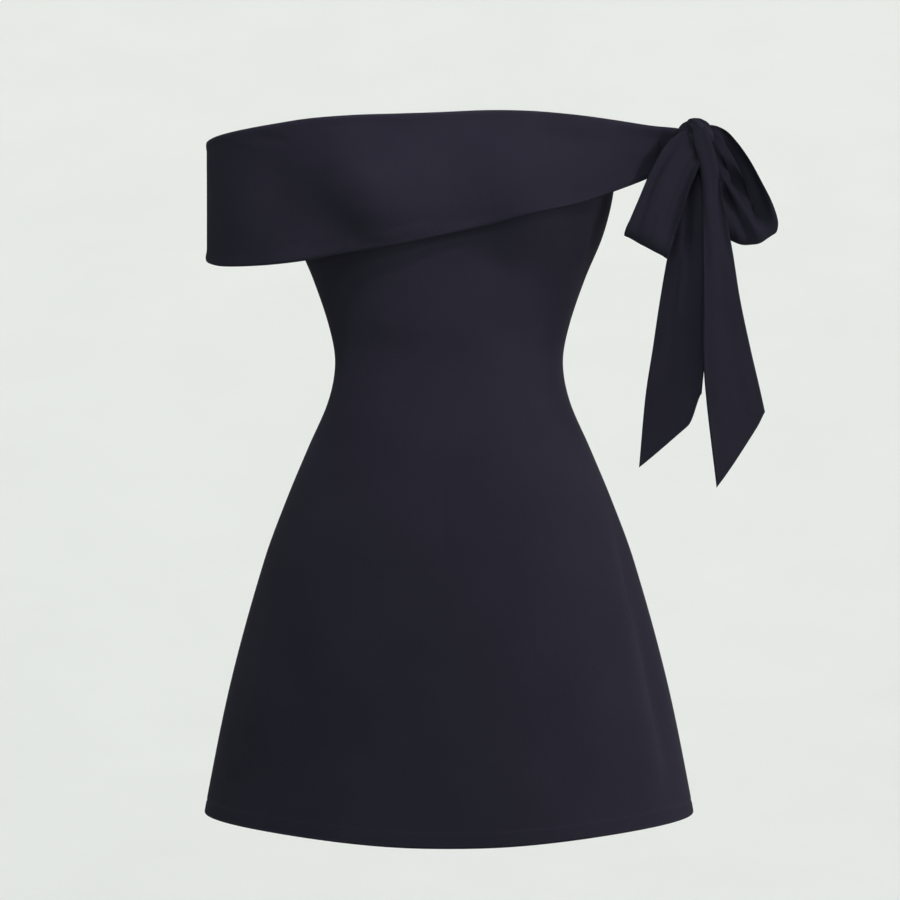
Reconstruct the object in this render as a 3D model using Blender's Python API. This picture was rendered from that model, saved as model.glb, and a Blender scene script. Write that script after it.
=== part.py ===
"""Off-shoulder mini dress with a fold-over neck band tied in a bow, filled out as if worn.

The frame is the wearer's: +Z up, the front faces -Y, +X is the wearer's left. The origin is the
centre of the chest at the bust line, where the wearer's body holds the dress. The tables are in
millimetres and read from the top of the dress to its hem, or along each strip of cloth.
"""

import math
from bisect import bisect_right
from collections import namedtuple

import bmesh
import bpy
from mathutils import Vector

MM = 0.001
SEAM_GAP = 0.3
BODY_CLOTH = 1.6
DOUBLED_CLOTH = 2.4
NORMAL_STEP = 0.002

# The body, cut in one from neckline to hem: a level ring at each height.
BodyRing = namedtuple("BodyRing", "z half_width front back roundness")
BODY_RINGS = [
    BodyRing(z=110, half_width=168, front=82, back=82, roundness=2.3),
    BodyRing(z=60, half_width=176, front=92, back=90, roundness=2.3),
    BodyRing(z=20, half_width=174, front=97, back=93, roundness=2.3),
    BodyRing(z=-25, half_width=163, front=96, back=91, roundness=2.3),
    BodyRing(z=-72, half_width=143.5, front=89, back=83, roundness=2.25),
    BodyRing(z=-123, half_width=126.5, front=84, back=76, roundness=2.2),
    BodyRing(z=-160, half_width=120.5, front=82, back=74, roundness=2.2),
    BodyRing(z=-200, half_width=127.5, front=89, back=83, roundness=2.2),
    BodyRing(z=-250, half_width=149, front=102, back=101, roundness=2.15),
    BodyRing(z=-305, half_width=172, front=116, back=119, roundness=2.1),
    BodyRing(z=-369, half_width=195.5, front=130, back=132, roundness=2.1),
    BodyRing(z=-496, half_width=230.5, front=150, back=146, roundness=2.1),
    BodyRing(z=-623, half_width=256.5, front=163, back=154, roundness=2.1),
    BodyRing(z=-670, half_width=264, front=168, back=157, roundness=2.1),
]

# The front is darted to a general figure's bust.
BUST_X = 82
BUST_Z = 2
BUST_FULLNESS = 20
BUST_SPREAD_X = 46
BUST_SPREAD_UP = 62
BUST_SPREAD_DOWN = 38

# The hem hangs lower at the middle than at the side seams. The neckline is the other way up.
HEM_SIDE_Z = -635
HEM_MIDDLE_DROP = 17
HEM_FLATNESS = 2.5
HEM_TURNING = 14
HEM_CLOTH = 2.6
UNDERARM_Z = 27
NECK_RISE_FRONT = 54
NECK_RISE_BACK = 48
BODY_COLUMNS = 24
BODY_ROWS = 26
ROW_CROWDING = 0.5

# The fold-over band, from the knot across the chest, round the arm, and across the back to the
# knot again. Each station gives its low edge and its top fold.
BandStation = namedtuple("BandStation", "x y_top y_low z_top z_low billow")
BAND_STATIONS = [
    BandStation(x=256, y_top=-31, y_low=-31, z_top=81, z_low=64, billow=0),
    BandStation(x=238, y_top=-33, y_low=-33, z_top=85, z_low=49, billow=1),
    BandStation(x=210, y_top=-43, y_low=-44, z_top=86.5, z_low=33, billow=2),
    BandStation(x=170, y_top=-60, y_low=-64, z_top=90.5, z_low=16, billow=3),
    BandStation(x=130, y_top=-73, y_low=-84, z_top=94, z_low=1, billow=5),
    BandStation(x=83, y_top=-83, y_low=-104, z_top=96.5, z_low=-11, billow=6),
    BandStation(x=37, y_top=-89, y_low=-98, z_top=96.7, z_low=-23, billow=5),
    BandStation(x=-9, y_top=-91, y_low=-94, z_top=94.7, z_low=-33, billow=4),
    BandStation(x=-55, y_top=-88, y_low=-93, z_top=93.3, z_low=-42, billow=7),
    BandStation(x=-102, y_top=-79, y_low=-88, z_top=92.7, z_low=-48, billow=9),
    BandStation(x=-144, y_top=-69, y_low=-77, z_top=91, z_low=-56, billow=3),
    BandStation(x=-181, y_top=-60, y_low=-66, z_top=86.5, z_low=-60, billow=2),
    BandStation(x=-213, y_top=-49, y_low=-53, z_top=82, z_low=-61, billow=3),
    BandStation(x=-237, y_top=-35, y_low=-37, z_top=78, z_low=-60, billow=2),
    BandStation(x=-250.5, y_top=-16, y_low=-17, z_top=75, z_low=-56, billow=1),
    BandStation(x=-254.5, y_top=5, y_low=5, z_top=73.5, z_low=-52, billow=0),
    BandStation(x=-250, y_top=26, y_low=27, z_top=74.5, z_low=-53, billow=1),
    BandStation(x=-235, y_top=44, y_low=46, z_top=77, z_low=-52, billow=2),
    BandStation(x=-208, y_top=58, y_low=60, z_top=80, z_low=-50, billow=3),
    BandStation(x=-168, y_top=69, y_low=74, z_top=84, z_low=-47, billow=3),
    BandStation(x=-110, y_top=80, y_low=90, z_top=87, z_low=-40, billow=3),
    BandStation(x=-37, y_top=87, y_low=98, z_top=88, z_low=-27, billow=3),
    BandStation(x=37, y_top=87, y_low=98, z_top=88, z_low=-10, billow=3),
    BandStation(x=110, y_top=80, y_low=88, z_top=87, z_low=10, billow=3),
    BandStation(x=170, y_top=66, y_low=70, z_top=86, z_low=28, billow=3),
    BandStation(x=213, y_top=48, y_low=50, z_top=84, z_low=43, billow=2),
    BandStation(x=243, y_top=24, y_low=24, z_top=82, z_low=54, billow=1),
    BandStation(x=257, y_top=-2, y_low=-2, z_top=80, z_low=60, billow=0),
    BandStation(x=261, y_top=-24, y_low=-24, z_top=78, z_low=64, billow=0),
]
OUTER_ARM = 15
BAND_STANDS_OFF_LOW = 2.5
BAND_STANDS_OFF_TOP = 2.2
BAND_BLEND = 5
ARM_FADE = 12
BILLOW_LEAN = 0.75
BAND_HEIGHTS = 8
FRONT_BAND_COLUMNS = 36
BACK_BAND_COLUMNS = 30
SEWN_HALF_WIDTH = 112
SEWN_FADE = 40
SEWN_DEPTH = 32
SEWN_GAP = 1.0

# The knot is a tight wrap of the same cloth.
KNOT_CENTRE = (259, -30, 71)
KNOT_RADII = (19.5, 21, 25)
KNOT_RIDGES = 5
KNOT_RIDGE_HEIGHT = 0.05
KNOT_COLUMNS = 30
KNOT_ROWS = 14

# Loops and tails are strips along a centre line. Tilt turns the strip's width from +X
# towards +Z, in degrees. Pleat is the height of its gathers, and dip is how far the strip's
# middle hangs below its edges.
Strip = namedtuple("Strip", "x y z half_width tilt pleat dip", defaults=[0])
INNER_LOOP = [
    Strip(x=266, y=-33, z=77, half_width=8, tilt=-46, pleat=0.5),
    Strip(x=256, y=-44, z=70, half_width=16, tilt=-43, pleat=1.2),
    Strip(x=242.5, y=-56, z=53, half_width=21, tilt=-35, pleat=2.0),
    Strip(x=230, y=-64, z=29, half_width=22.5, tilt=-29, pleat=1.8),
    Strip(x=217, y=-69, z=-5, half_width=24, tilt=-27, pleat=1.0),
    Strip(x=208, y=-69, z=-30, half_width=25.5, tilt=-28, pleat=0.5),
    Strip(x=205, y=-61.5, z=-40.5, half_width=26, tilt=-28.5, pleat=0.3),
    Strip(x=207, y=-54, z=-31, half_width=25, tilt=-28, pleat=0.3),
    Strip(x=217.5, y=-52, z=-5, half_width=22.5, tilt=-28, pleat=0.5),
    Strip(x=231.5, y=-51.5, z=28, half_width=20, tilt=-30, pleat=0.7),
    Strip(x=245, y=-47, z=53, half_width=16, tilt=-36, pleat=0.6),
    Strip(x=258, y=-36, z=68, half_width=9, tilt=-42, pleat=0.4),
    Strip(x=265, y=-28, z=73, half_width=6, tilt=-44, pleat=0.3),
]
OUTER_LOOP = [
    Strip(x=255, y=-30, z=77, half_width=7, tilt=64, pleat=0.3),
    Strip(x=269, y=-31, z=80, half_width=10, tilt=60, pleat=0.5),
    Strip(x=281, y=-34, z=72.5, half_width=13.5, tilt=52, pleat=1.0),
    Strip(x=290, y=-37, z=58.5, half_width=16.5, tilt=45, pleat=1.6),
    Strip(x=299, y=-40, z=38.5, half_width=20, tilt=38, pleat=2.2, dip=1),
    Strip(x=306, y=-43, z=17, half_width=23.5, tilt=28, pleat=2.2, dip=4),
    Strip(x=312, y=-43, z=-2, half_width=27, tilt=18, pleat=1.8, dip=8),
    Strip(x=316.5, y=-39, z=-17, half_width=28.5, tilt=11, pleat=1.2, dip=10),
    Strip(x=318, y=-29, z=-25, half_width=28.5, tilt=9, pleat=0.8, dip=11),
    Strip(x=317, y=-19, z=-17, half_width=28, tilt=11, pleat=0.8, dip=10),
    Strip(x=312, y=-14, z=1, half_width=25.5, tilt=18, pleat=0.8, dip=8),
    Strip(x=305, y=-16, z=20, half_width=22, tilt=28, pleat=0.8, dip=4),
    Strip(x=297, y=-18, z=40, half_width=18, tilt=38, pleat=0.8, dip=1),
    Strip(x=287, y=-22, z=60, half_width=13, tilt=45, pleat=0.6),
    Strip(x=275, y=-25, z=72, half_width=9, tilt=52, pleat=0.4),
    Strip(x=260, y=-26, z=74, half_width=6, tilt=58, pleat=0.3),
]
INNER_TAIL = [
    Strip(x=260, y=-32, z=64, half_width=6, tilt=-4, pleat=0.6),
    Strip(x=261, y=-36, z=43, half_width=8, tilt=-4, pleat=1.2),
    Strip(x=259, y=-40, z=22, half_width=11, tilt=-6, pleat=1.4),
    Strip(x=256, y=-43, z=0, half_width=14.5, tilt=-6, pleat=1.4),
    Strip(x=250, y=-44, z=-45, half_width=20.5, tilt=-6, pleat=1.0),
    Strip(x=244.5, y=-44, z=-97, half_width=24, tilt=-6, pleat=0.6),
    Strip(x=239.5, y=-43, z=-149, half_width=26.5, tilt=-6, pleat=0.4),
    Strip(x=234, y=-42, z=-200, half_width=28.5, tilt=-6, pleat=0.2),
    Strip(x=228, y=-41, z=-270, half_width=30.5, tilt=-6, pleat=0.2),
]
OUTER_TAIL = [
    Strip(x=267, y=-35, z=64, half_width=5, tilt=2, pleat=0.5),
    Strip(x=271, y=-47.5, z=45, half_width=7, tilt=4, pleat=1.0),
    Strip(x=273.5, y=-53, z=22, half_width=8.8, tilt=6, pleat=1.4),
    Strip(x=275, y=-55, z=0, half_width=10.8, tilt=6, pleat=1.4),
    Strip(x=279.5, y=-56, z=-45, half_width=15.5, tilt=6, pleat=1.0),
    Strip(x=284, y=-55, z=-97, half_width=19.5, tilt=6, pleat=0.6),
    Strip(x=290, y=-53, z=-149, half_width=24.5, tilt=6, pleat=0.4),
    Strip(x=297.5, y=-51, z=-200, half_width=28.5, tilt=6, pleat=0.2),
    Strip(x=312, y=-49, z=-288, half_width=33, tilt=6, pleat=0.2),
]
# How much of its centre line each edge of a strip reaches, from its left edge to its right.
LOOP_ENDS = (1, 1)
INNER_TAIL_ENDS = (1, 0.9)
OUTER_TAIL_ENDS = (1, 0.905)
LOOP_GATHERS = 3
TAIL_GATHERS = 2
LOOP_COLUMNS = 10
LOOP_ROWS = 28
TAIL_COLUMNS = 7
TAIL_ROWS = 20

CREPE_COLOUR = (0.016, 0.015, 0.021, 1)
CREPE_ROUGHNESS = 0.62


def smooth_step(share):
    share = min(1, max(0, share))
    return share * share * (3 - 2 * share)


def mix(first, second, share):
    return first + (second - first) * share


def smooth_max(first, second, blend):
    """The larger of two depths, rounded over where they are about equal."""
    return (first + second + math.hypot(first - second, blend)) / 2


def curve_through(keys, values):
    """A smooth curve through a table's values, at keys that rise."""
    last = len(keys) - 1

    def slope(i):
        low, high = max(0, i - 1), min(last, i + 1)
        return (values[high] - values[low]) / (keys[high] - keys[low])

    def value_at(key):
        i = min(max(bisect_right(keys, key) - 1, 0), last - 1)
        step = keys[i + 1] - keys[i]
        t = (key - keys[i]) / step
        # Past either end the curve runs on straight.
        if t < 0:
            return values[0] + slope(0) * (key - keys[0])
        if t > 1:
            return values[last] + slope(last) * (key - keys[last])
        bend_in, bend_out = slope(i) * step, slope(i + 1) * step
        return (
            (1 + 2 * t) * (1 - t) ** 2 * values[i]
            + t * (1 - t) ** 2 * bend_in
            + t * t * (3 - 2 * t) * values[i + 1]
            + t * t * (t - 1) * bend_out
        )

    return value_at


def columns_of(table, keys=None):
    """Each named column of a table as a smooth curve, by the given keys or by row number."""
    keys = keys or list(range(len(table)))
    fields = table[0]._fields
    return {name: curve_through(keys, [getattr(row, name) for row in table]) for name in fields}


RISING_RINGS = BODY_RINGS[::-1]
BODY = columns_of(RISING_RINGS, [ring.z for ring in RISING_RINGS])
BAND = columns_of(BAND_STATIONS)


def bust_fullness(x, z):
    """How far the darted front stands out over the bust."""
    spread_z = BUST_SPREAD_UP if z > BUST_Z else BUST_SPREAD_DOWN
    across = (abs(x) - BUST_X) / BUST_SPREAD_X
    along = (z - BUST_Z) / spread_z
    return BUST_FULLNESS * math.exp(-across * across - along * along)


def ring_at(z, side):
    """The half width, depth and roundness of the body's ring: side is -1 in front, 1 behind."""
    depth = BODY["front" if side < 0 else "back"](z)
    return BODY["half_width"](z), depth, BODY["roundness"](z)


def with_bust(depth, x, z, side):
    """A ring's depth at x with the bust on it, which fades out before the side seam."""
    if side > 0:
        return depth
    return depth + bust_fullness(x, z) * smooth_step(2 * depth / ring_at(z, side)[1])


def body_depth(x, z, side):
    half_width, reach, power = ring_at(z, side)
    share = min(1, abs(x) / half_width)
    return with_bust(reach * (1 - share**power) ** (1 / power), x, z, side)


def band_point(station, share):
    """A point on the band's inner face, at a share of its height from low edge to top fold."""
    x = BAND["x"](station)
    z = mix(BAND["z_low"](station), BAND["z_top"](station), share)
    y = mix(BAND["y_low"](station), BAND["y_top"](station), share)
    side = -1 if y < 0 else 1
    billow = BAND["billow"](station) * math.sin(math.pi * max(0, share) ** BILLOW_LEAN)
    depth = abs(y) + billow
    beside_body = smooth_step((abs(x) - BODY["half_width"](z)) / ARM_FADE + 1)
    if beside_body < 1:
        stands_off = mix(BAND_STANDS_OFF_LOW, BAND_STANDS_OFF_TOP, smooth_step(share))
        over_body = smooth_max(depth, body_depth(x, z, side) + stands_off, BAND_BLEND)
        depth = mix(over_body, depth, beside_body)
    return Vector((x, side * depth, z))


def station_at(x, first, last):
    """The band station with this x, between two stations where x runs one way."""
    rises = BAND["x"](last) > BAND["x"](first)
    for _ in range(40):
        middle = (first + last) / 2
        if (BAND["x"](middle) < x) == rises:
            first = middle
        else:
            last = middle
    return (first + last) / 2


def sewn_depth(x, z, side):
    """The depth at which the band's inner face passes a point of the neckline."""
    if side < 0:
        station = station_at(x, 1, OUTER_ARM - 2)
    else:
        station = station_at(x, OUTER_ARM + 2, len(BAND_STATIONS) - 3)
    low, top = BAND["z_low"](station), BAND["z_top"](station)
    return abs(band_point(station, (z - low) / (top - low)).y)


def neck_z(angle):
    rise = NECK_RISE_FRONT if math.sin(angle) < 0 else NECK_RISE_BACK
    return UNDERARM_Z + rise * abs(math.sin(angle)) ** 1.6


def hem_z(angle):
    return HEM_SIDE_Z - HEM_MIDDLE_DROP * (1 - abs(math.cos(angle)) ** HEM_FLATNESS)


def body_point(angle, z):
    """A point on the body's outer face. The neckline's margin leans out to meet the band."""
    side = -1 if math.sin(angle) < 0 else 1
    half_width, reach, power = ring_at(z, side)
    across, along = abs(math.cos(angle)) / half_width, abs(math.sin(angle)) / reach
    radius = (across**power + along**power) ** (-1 / power)
    x = radius * math.cos(angle)
    depth = with_bust(radius * abs(math.sin(angle)), x, z, side)
    margin = smooth_step(1 - (neck_z(angle) - z) / SEWN_DEPTH)
    sewn = margin * smooth_step(1 - (abs(x) - SEWN_HALF_WIDTH) / SEWN_FADE)
    if sewn > 0:
        depth = mix(depth, sewn_depth(x, z, side) - SEWN_GAP, sewn)
    return Vector((x, side * depth, z))


def strip_point(curves, last_row, ends, gathers, along, across):
    """A point on a strip's middle, from its root along to its end and from edge to edge."""
    station = along * last_row * mix(ends[0], ends[1], (across + 1) / 2)
    row = {name: curve(station) for name, curve in curves.items()}
    ahead = Vector([curves[name](station + 0.05) for name in "xyz"])
    behind = Vector([curves[name](station - 0.05) for name in "xyz"])
    tilt = math.radians(row["tilt"])
    width = Vector((math.cos(tilt), 0, math.sin(tilt)))
    out = width.cross(ahead - behind).normalized()
    wave = row["pleat"] * math.cos(gathers * math.pi * across)
    hanging = row["z"] - row["dip"] * (1 - across * across)
    centre = Vector((row["x"], row["y"], hanging))
    return centre + width * across * row["half_width"] + out * wave


def new_object(name, bm):
    mesh = bpy.data.meshes.new(name)
    bmesh.ops.recalc_face_normals(bm, faces=bm.faces)
    bm.to_mesh(mesh)
    bm.free()
    mesh.shade_smooth()
    mesh.set_sharp_from_angle(angle=math.radians(50))
    obj = bpy.data.objects.new(name, mesh)
    obj.data.materials.append(CREPE)
    bpy.context.scene.collection.objects.link(obj)
    return obj


def cloth_wall(name, surface, columns, rows, thickness, outside_share):
    """A closed wall of cloth on surface(u, v), with u and v from 0 to 1.

    thickness is a function of v, and outside_share of it lies outside the surface."""
    bm = bmesh.new()
    outer, inner = [], []
    for j in range(rows + 1):
        for i in range(columns + 1):
            u, v = i / columns, j / rows
            point = surface(u, v)
            along_u = surface(u + NORMAL_STEP, v) - surface(u - NORMAL_STEP, v)
            along_v = surface(u, v + NORMAL_STEP) - surface(u, v - NORMAL_STEP)
            normal = along_u.cross(along_v).normalized()
            outside = normal * thickness(v) * outside_share
            inside = normal * thickness(v) * (1 - outside_share)
            outer.append(bm.verts.new((point + outside) * MM))
            inner.append(bm.verts.new((point - inside) * MM))

    def corner(i, j):
        return j * (columns + 1) + i

    for j in range(rows):
        for i in range(columns):
            ring = [corner(i, j), corner(i + 1, j), corner(i + 1, j + 1), corner(i, j + 1)]
            bm.faces.new([outer[k] for k in ring])
            bm.faces.new([inner[k] for k in reversed(ring)])
    rim = [corner(i, 0) for i in range(columns)]
    rim += [corner(columns, j) for j in range(rows)]
    rim += [corner(i, rows) for i in range(columns, 0, -1)]
    rim += [corner(0, j) for j in range(rows, 0, -1)]
    for k, here in enumerate(rim):
        following = rim[(k + 1) % len(rim)]
        bm.faces.new([outer[following], outer[here], inner[here], inner[following]])
    return new_object(name, bm)


def make_body_panel(name, side):
    """The front (side -1) or back (side 1) panel, from side seam to side seam."""

    def angle_at(u, z):
        seam = math.asin(SEAM_GAP / 2 / BODY["half_width"](z))
        sweep = math.pi - 2 * seam
        return seam + u * sweep if side > 0 else -math.pi + seam + u * sweep

    def height_of(v, total):
        """The first row is the hem's turning. The rest crowd together towards the neckline."""
        first = 1 / BODY_ROWS
        if v < first:
            return HEM_TURNING * v / first
        share = (v - first) / (1 - first)
        return mix(HEM_TURNING, total, share * (1 + ROW_CROWDING * (1 - share)))

    def surface(u, v):
        rough = angle_at(u, HEM_SIDE_Z)
        z = hem_z(rough) + height_of(v, neck_z(rough) - hem_z(rough))
        return body_point(angle_at(u, z), z)

    def thickness(v):
        return HEM_CLOTH if v < 1.5 / BODY_ROWS else BODY_CLOTH

    return cloth_wall(name, surface, BODY_COLUMNS, BODY_ROWS, thickness, outside_share=0)


def doubled(_):
    return DOUBLED_CLOTH


def make_band(name, first, last, columns):
    """A length of the band between two stations. Its wall lies outside band_point."""

    def surface(u, v):
        return band_point(mix(last, first, u), v)

    return cloth_wall(name, surface, columns, BAND_HEIGHTS, doubled, outside_share=1)


def make_strip(name, table, ends, gathers, columns, rows):
    curves = columns_of(table)

    def surface(u, v):
        return strip_point(curves, len(table) - 1, ends, gathers, 1 - v, 2 * u - 1)

    return cloth_wall(name, surface, columns, rows, doubled, outside_share=0.5)


def make_knot(name, grow=0):
    """The wrap round the middle of the bow, softly ridged by its folds."""
    bm = bmesh.new()
    bmesh.ops.create_uvsphere(bm, u_segments=KNOT_COLUMNS, v_segments=KNOT_ROWS, radius=1)
    for vert in bm.verts:
        across = math.atan2(vert.co.x, -vert.co.y)
        flat = math.hypot(vert.co.x, vert.co.y)
        ridge = 1 + KNOT_RIDGE_HEIGHT * flat * math.cos(KNOT_RIDGES * across)
        sizes = [(radius + grow) * ridge for radius in KNOT_RADII]
        placed = [centre + size * part for centre, size, part in zip(KNOT_CENTRE, sizes, vert.co)]
        vert.co = Vector(placed) * MM
    return new_object(name, bm)


def seat_on(piece, cutter):
    """Ends a piece just clear of the knot's face."""
    cut = piece.modifiers.new("seat", "BOOLEAN")
    cut.operation = "DIFFERENCE"
    cut.object = cutter


def make_material():
    material = bpy.data.materials.new("stretch_crepe")
    material.use_nodes = True
    shader = material.node_tree.nodes["Principled BSDF"]
    shader.inputs["Base Color"].default_value = CREPE_COLOUR
    shader.inputs["Roughness"].default_value = CREPE_ROUGHNESS
    shader.inputs["Metallic"].default_value = 0
    return material


def make_gathered_pieces():
    """What the knot draws together: both lengths of the band, the loops and the tails."""
    spacing = (band_point(OUTER_ARM + 0.5, 0.5) - band_point(OUTER_ARM - 0.5, 0.5)).length
    half_seam = SEAM_GAP / 2 / spacing
    last = len(BAND_STATIONS) - 1
    loop = dict(ends=LOOP_ENDS, gathers=LOOP_GATHERS, columns=LOOP_COLUMNS, rows=LOOP_ROWS)
    tail = dict(gathers=TAIL_GATHERS, columns=TAIL_COLUMNS, rows=TAIL_ROWS)
    return [
        make_band("band_front", 0, OUTER_ARM - half_seam, FRONT_BAND_COLUMNS),
        make_band("band_back", OUTER_ARM + half_seam, last, BACK_BAND_COLUMNS),
        make_strip("bow_loop_inner", INNER_LOOP, **loop),
        make_strip("bow_loop_outer", OUTER_LOOP, **loop),
        make_strip("bow_tail_inner", INNER_TAIL, ends=INNER_TAIL_ENDS, **tail),
        make_strip("bow_tail_outer", OUTER_TAIL, ends=OUTER_TAIL_ENDS, **tail),
    ]


def make_dress():
    make_body_panel("body_front", side=-1)
    make_body_panel("body_back", side=1)
    make_knot("bow_knot")
    seat = make_knot("knot_seat", grow=SEAM_GAP)
    seat.hide_render = True
    seat.display_type = "WIRE"
    for piece in make_gathered_pieces():
        seat_on(piece, seat)


for old in list(bpy.data.objects):
    bpy.data.objects.remove(old)
CREPE = make_material()
make_dress()
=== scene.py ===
# %% [markdown]
# # A black off-shoulder dress with a bow on the sleeve
#
# The real dress is stretch crepe: a short flared body, a wide band folded over round the chest
# and both arms, and a bow where the band's two ends meet on one arm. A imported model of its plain
# walls is loaded first. Each wall is then remade here as fine cloth, in the same place.

import math
from collections import namedtuple

import bpy
import numpy as np
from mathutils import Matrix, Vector


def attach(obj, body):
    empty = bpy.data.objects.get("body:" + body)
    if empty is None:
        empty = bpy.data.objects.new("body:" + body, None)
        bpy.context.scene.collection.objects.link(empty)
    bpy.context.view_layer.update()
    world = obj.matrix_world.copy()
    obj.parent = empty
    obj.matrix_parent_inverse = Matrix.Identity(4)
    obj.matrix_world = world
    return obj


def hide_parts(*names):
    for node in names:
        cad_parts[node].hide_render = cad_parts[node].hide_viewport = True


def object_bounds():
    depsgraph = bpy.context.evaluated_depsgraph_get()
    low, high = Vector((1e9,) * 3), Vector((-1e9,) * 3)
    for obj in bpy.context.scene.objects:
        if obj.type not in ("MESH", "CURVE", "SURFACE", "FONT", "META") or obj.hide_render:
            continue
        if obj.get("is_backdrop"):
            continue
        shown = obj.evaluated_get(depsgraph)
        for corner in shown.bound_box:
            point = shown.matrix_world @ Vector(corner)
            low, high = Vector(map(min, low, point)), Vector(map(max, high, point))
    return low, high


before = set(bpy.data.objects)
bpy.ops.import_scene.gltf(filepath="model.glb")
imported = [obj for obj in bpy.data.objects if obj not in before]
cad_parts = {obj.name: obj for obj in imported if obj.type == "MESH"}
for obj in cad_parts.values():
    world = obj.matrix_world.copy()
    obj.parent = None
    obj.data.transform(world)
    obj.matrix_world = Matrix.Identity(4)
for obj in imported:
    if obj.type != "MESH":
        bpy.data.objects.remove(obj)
packed_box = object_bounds()
print("packed nodes:", sorted(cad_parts))

# %% [markdown]
# ## The camera
#
# The dress is seen level and from the front, from far enough away that its sides look straight.
# A lens could be guessed by eye, but here the angle follows from the width of the picture at the
# dress and from the distance, so the dress fills the picture by the same amount.

# %% Set up the camera
CAMERA_DISTANCE = 3.0
PICTURE_WIDTH = 0.954
PICTURE_X = 0.00106
PICTURE_Z = -0.2523


def add_to_scene(name, data, location=(0, 0, 0)):
    """A new object that holds this data."""
    thing = bpy.data.objects.new(name, data)
    thing.location = location
    bpy.context.scene.collection.objects.link(thing)
    return thing


lens = bpy.data.cameras.new("camera")
lens.angle = 2 * math.atan(PICTURE_WIDTH / 2 / CAMERA_DISTANCE)
camera = add_to_scene("camera", lens, (PICTURE_X, -CAMERA_DISTANCE, PICTURE_Z))
camera.rotation_euler = (math.radians(90), 0, 0)
bpy.context.scene.camera = camera
print("camera angle in degrees:", round(math.degrees(lens.angle), 2))

# %% [markdown]
# ## Colours and nodes
#
# A colour picked on a screen is an sRGB hex value, and Blender's shaders want linear light. One
# function turns one into the other, and one small function adds any node with its settings and
# links, so that a material below reads from top to bottom like a recipe.

# %% Helpers for colours and nodes


def linear(hex_colour):
    """An sRGB hex colour as linear red, green and blue, with nothing see-through."""
    parts = [int(hex_colour[i : i + 2], 16) / 255 for i in (1, 3, 5)]
    curved = [p / 12.92 if p <= 0.04045 else ((p + 0.055) / 1.055) ** 2.4 for p in parts]
    return (*curved, 1.0)


def add_node(tree, kind, settings=None, **inputs):
    """Adds a node. An input is a value, or another node's output to link from.

    Inputs that share a name are given by number, as in _6."""
    node = tree.nodes.new(kind)
    for name, value in (settings or {}).items():
        setattr(node, name, value)
    for name, value in inputs.items():
        by_number = name.startswith("_")
        socket = node.inputs[int(name[1:]) if by_number else name.replace("_", " ")]
        if isinstance(value, bpy.types.NodeSocket):
            tree.links.new(value, socket)
        else:
            socket.default_value = value
    return node


def blend(tree, share, first, second):
    """A mix of two colours."""
    settings = {"data_type": "RGBA"}
    return add_node(tree, "ShaderNodeMix", settings, _0=share, _6=first, _7=second).outputs[2]


def remap(tree, value, old, new):
    """Values between two old limits, stretched to lie between two new ones."""
    limits = {"_1": old[0], "_2": old[1], "_3": new[0], "_4": new[1]}
    return add_node(tree, "ShaderNodeMapRange", _0=value, **limits).outputs[0]


def new_material(name):
    """An empty node material and its output node."""
    material = bpy.data.materials.new(name)
    material.use_nodes = True
    material.node_tree.nodes.clear()
    output = add_node(material.node_tree, "ShaderNodeOutputMaterial")
    return material, material.node_tree, output


bpy.context.scene.view_settings.view_transform = "Standard"
print("middle grey in linear light:", [round(c, 3) for c in linear("#808080")])

# %% [markdown]
# ## A pale paper sweep
#
# A studio hangs a wide roll of pale paper behind the dress and lets it curve out over the floor,
# so no line shows where wall meets floor. It could be two planes, but a bent sheet has no corner
# to hide. It lies where the wearer's feet would stand, well below the picture.

# %% Make the paper sweep
FLOOR_Z = -1.22
FLOOR_FRONT_Y = -5.0
WALL_Y = 4.2
WALL_TOP_Z = 3.2
BEND_RADIUS = 2.2
BEND_POINTS = 31
PAPER_HALF_WIDTH = 5.5
PAPER_DARKER = "#E7E6E2"
PAPER_PALER = "#EDECE8"


def grid_quads(rows, columns):
    """A grid of point numbers, and the four corners of each of its quads."""
    index = np.arange(rows * columns).reshape(rows, columns)
    quads = np.stack([index[:-1, :-1], index[:-1, 1:], index[1:, 1:], index[1:, :-1]], axis=-1)
    return index, quads.reshape(-1, 4)


bend = np.radians(np.linspace(0, 90, BEND_POINTS))
bend_y = WALL_Y - BEND_RADIUS + BEND_RADIUS * np.sin(bend)
bend_z = FLOOR_Z + BEND_RADIUS - BEND_RADIUS * np.cos(bend)
side_y = np.concatenate([[FLOOR_FRONT_Y], bend_y, [WALL_Y]])
side_z = np.concatenate([[FLOOR_Z], bend_z, [WALL_TOP_Z]])
edges_x = (-PAPER_HALF_WIDTH, PAPER_HALF_WIDTH)
paper_points = [np.column_stack([np.full(side_y.shape, x), side_y, side_z]) for x in edges_x]
paper_mesh = bpy.data.meshes.new("paper_sweep")
paper_quads = grid_quads(2, len(side_y))[1]
paper_mesh.from_pydata(np.concatenate(paper_points).tolist(), [], paper_quads.tolist())
paper_mesh.shade_smooth()
paper = add_to_scene("paper_sweep", paper_mesh)
paper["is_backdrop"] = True

paper_material, tree, output = new_material("pale_matte_paper")
fibres = add_node(tree, "ShaderNodeTexNoise", Scale=40.0, Detail=4.0)
shade = blend(tree, fibres.outputs["Fac"], linear(PAPER_DARKER), linear(PAPER_PALER))
surface = add_node(tree, "ShaderNodeBsdfPrincipled", Base_Color=shade, Roughness=0.95)
tree.links.new(surface.outputs[0], output.inputs[0])
paper.data.materials.append(paper_material)
print("paper sweep points:", len(paper.data.vertices))

# %% [markdown]
# ## Soft studio light
#
# Black cloth shows its form only by small steps of grey, and flat light alone would hide every
# fold. So a pale room lights it all round, and one soft light hangs high in front: it greys what
# faces up and leaves a thin shadow under the band. A wide one on the left fills the skirt, and a
# narrow one picks out the chest. Two more stand on the bow's side: the stronger greys all that
# turns that way, and a weak one runs up the skirt's long fold. Two washes light the paper.

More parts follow.
